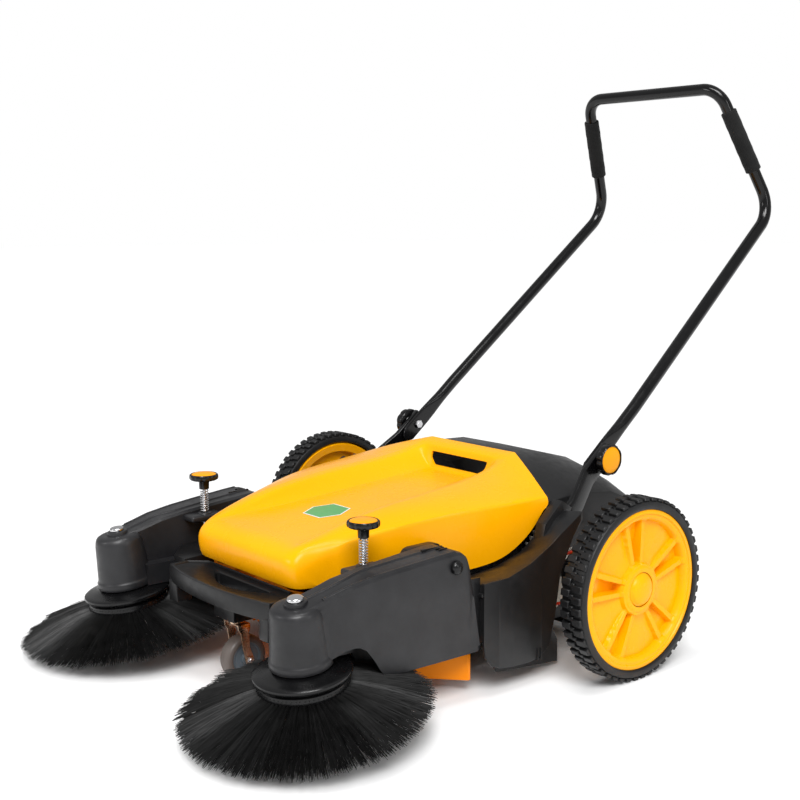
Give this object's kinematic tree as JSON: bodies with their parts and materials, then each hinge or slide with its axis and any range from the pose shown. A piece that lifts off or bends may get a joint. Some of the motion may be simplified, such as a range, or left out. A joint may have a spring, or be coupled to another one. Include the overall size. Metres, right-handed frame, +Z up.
{
  "type": "walk behind sweeper",
  "caption": "Hand-pushed floor sweeper with a lift-out hopper, belt-driven side brushes on sprung arms, a cross roller brush and a folding tube handle.",
  "frame": {"origin": "middle of the footprint, on the floor", "axes": "+Z up, +Y towards the push handle, front of the machine towards -Y, +X to the side with the brush drive gear"},
  "size_m": [0.9018, 1.3555, 1.0032],
  "materials": {
    "yellow": "gloss",
    "orange": "satin",
    "black": "satin",
    "arm": "satin, finely grained",
    "tube": "gloss black powder coat",
    "foam": "matt foam",
    "tyre": "matt rubber",
    "bristle": "nylon filament",
    "belt": "satin polyurethane",
    "steel": "bright zinc",
    "gear": "natural nylon",
    "caster": "satin"
  },
  "bodies": {
    "chassis": {"brush_chamber": "black", "brush_hood": "black", "side_frame_left": "black", "side_frame_right": "black", "front_beam": "black", "side_skirt_left": "black", "side_skirt_right": "black", "rear_flap": "tyre", "stub_axle_left": "steel", "stub_axle_right": "steel", "wheel_belt_left": "belt", "wheel_belt_right": "belt", "strut_left": "tube", "strut_right": "tube", "base_pan_left": "orange", "base_pan_right": "orange"},
    "hopper": {"hopper_cover": "yellow", "hopper_tub": "orange"},
    "roller": {"roller_core": "black", "roller_bristles": "bristle", "roller_pinion": "gear"},
    "caster_swivel": {"caster_fork": "steel", "caster_axle": "steel"},
    "caster_roll": {"caster_wheel": "caster"},
    "handle": {"handle_tube": "tube", "grip_left": "foam", "grip_right": "foam"},
    "wheel_left": {"tyre_left": "tyre", "rim_left": "yellow", "hub_cap_left": "yellow", "wheel_pulley_left": "black"},
    "arm_left": {"arm_left": "arm", "arm_pin_left": "black", "brush_belt_left": "belt"},
    "idler_left": {"idler_pulley_left": "black"},
    "side_brush_left": {"side_brush_head_left": "black", "side_bristles_left": "bristle", "spindle_left": "steel", "side_brush_pulley_left": "black"},
    "adjuster_left": {"adjuster_rod_left": "steel", "adjuster_spring_left": "steel"},
    "adjuster_knob_left": {"adjuster_knob_left": "black"},
    "clamp_left": {"clamp_knob_left": "black"},
    "wheel_right": {"tyre_right": "tyre", "rim_right": "yellow", "hub_cap_right": "yellow", "wheel_pulley_right": "black", "drive_gear": "gear"},
    "arm_right": {"arm_right": "arm", "arm_pin_right": "black", "brush_belt_right": "belt"},
    "idler_right": {"idler_pulley_right": "black"},
    "side_brush_right": {"side_brush_head_right": "black", "side_bristles_right": "bristle", "spindle_right": "steel", "side_brush_pulley_right": "black"},
    "adjuster_right": {"adjuster_rod_right": "steel", "adjuster_spring_right": "steel"},
    "adjuster_knob_right": {"adjuster_knob_right": "black"},
    "clamp_right": {"clamp_knob_right": "black"}
  },
  "joints": [
    {"name": "hopper_lift", "type": "slide", "parent": "chassis", "child": "hopper", "axis": [0, 0, 1], "range_m": [0, 0.35]},
    {"name": "wheel_spin_left", "type": "hinge", "parent": "chassis", "child": "wheel_left", "pos_m": [-0.4, 0.054, 0.15], "axis": [1, 0, 0], "continuous": true},
    {"name": "arm_tilt_left", "type": "hinge", "parent": "chassis", "child": "arm_left", "pos_m": [-0.28, -0.25, 0.22], "axis": [-1, 0, 0], "range_deg": [-2, 3]},
    {"name": "idler_spin_left", "type": "hinge", "parent": "arm_left", "child": "idler_left", "pos_m": [-0.3, -0.212, 0.15], "axis": [1, 0, 0], "continuous": true},
    {"name": "side_brush_spin_left", "type": "hinge", "parent": "arm_left", "child": "side_brush_left", "pos_m": [-0.26, -0.488, 0.04], "axis": [-0.0387, -0.1246, 0.9915], "continuous": true},
    {"name": "adjuster_lift_left", "type": "slide", "parent": "arm_left", "child": "adjuster_left", "axis": [0, 0, -1], "range_m": [-0.004, 0.006], "deforming": ["adjuster_spring_left"]},
    {"name": "adjuster_turn_left", "type": "hinge", "parent": "adjuster_left", "child": "adjuster_knob_left", "pos_m": [-0.229, -0.358, 0.28], "axis": [0, 0, -1], "range_deg": [-460, 690]},
    {"name": "clamp_turn_left", "type": "hinge", "parent": "handle", "child": "clamp_left", "pos_m": [-0.252, 0.149, 0.328], "axis": [1, 0, 0], "range_deg": [0, 720]},
    {"name": "wheel_spin_right", "type": "hinge", "parent": "chassis", "child": "wheel_right", "pos_m": [0.4, 0.054, 0.15], "axis": [1, 0, 0], "continuous": true},
    {"name": "arm_tilt_right", "type": "hinge", "parent": "chassis", "child": "arm_right", "pos_m": [0.28, -0.25, 0.22], "axis": [-1, 0, 0], "range_deg": [-2, 3]},
    {"name": "idler_spin_right", "type": "hinge", "parent": "arm_right", "child": "idler_right", "pos_m": [0.3, -0.212, 0.15], "axis": [1, 0, 0], "continuous": true},
    {"name": "side_brush_spin_right", "type": "hinge", "parent": "arm_right", "child": "side_brush_right", "pos_m": [0.26, -0.488, 0.04], "axis": [0.0387, -0.1246, 0.9915], "continuous": true},
    {"name": "adjuster_lift_right", "type": "slide", "parent": "arm_right", "child": "adjuster_right", "axis": [0, 0, -1], "range_m": [-0.004, 0.006], "deforming": ["adjuster_spring_right"]},
    {"name": "adjuster_turn_right", "type": "hinge", "parent": "adjuster_right", "child": "adjuster_knob_right", "pos_m": [0.229, -0.358, 0.28], "axis": [0, 0, -1], "range_deg": [-460, 690]},
    {"name": "clamp_turn_right", "type": "hinge", "parent": "handle", "child": "clamp_right", "pos_m": [0.252, 0.149, 0.328], "axis": [-1, 0, 0], "range_deg": [0, 720]},
    {"name": "roller_spin", "type": "hinge", "parent": "chassis", "child": "roller", "pos_m": [0, -0.046, 0.10417], "axis": [1, 0, 0], "continuous": true},
    {"name": "caster_swivel", "type": "hinge", "parent": "chassis", "child": "caster_swivel", "pos_m": [0, -0.439, 0.1], "axis": [0, 0, 1], "continuous": true},
    {"name": "caster_roll", "type": "hinge", "parent": "caster_swivel", "child": "caster_roll", "pos_m": [0, -0.429, 0.0375], "axis": [1, 0, 0], "continuous": true},
    {"name": "handle_fold", "type": "hinge", "parent": "chassis", "child": "handle", "pos_m": [0, 0.149, 0.328], "axis": [1, 0, 0], "range_deg": [-10, 125]}
  ],
  "couplings": [
    {"joint": "idler_spin_left", "follows": "wheel_spin_left", "ratio": 2.6061},
    {"joint": "side_brush_spin_left", "follows": "wheel_spin_left", "ratio": 1.4333},
    {"joint": "adjuster_lift_left", "follows": "arm_tilt_left", "m_per_rad": 0.108},
    {"joint": "adjuster_turn_left", "follows": "arm_tilt_left", "ratio": 226.19},
    {"joint": "idler_spin_right", "follows": "wheel_spin_right", "ratio": 2.6061},
    {"joint": "side_brush_spin_right", "follows": "wheel_spin_right", "ratio": -1.4333},
    {"joint": "adjuster_lift_right", "follows": "arm_tilt_right", "m_per_rad": 0.108},
    {"joint": "adjuster_turn_right", "follows": "arm_tilt_right", "ratio": 226.19},
    {"joint": "roller_spin", "follows": "wheel_spin_right", "ratio": -2.0556}
  ]
}
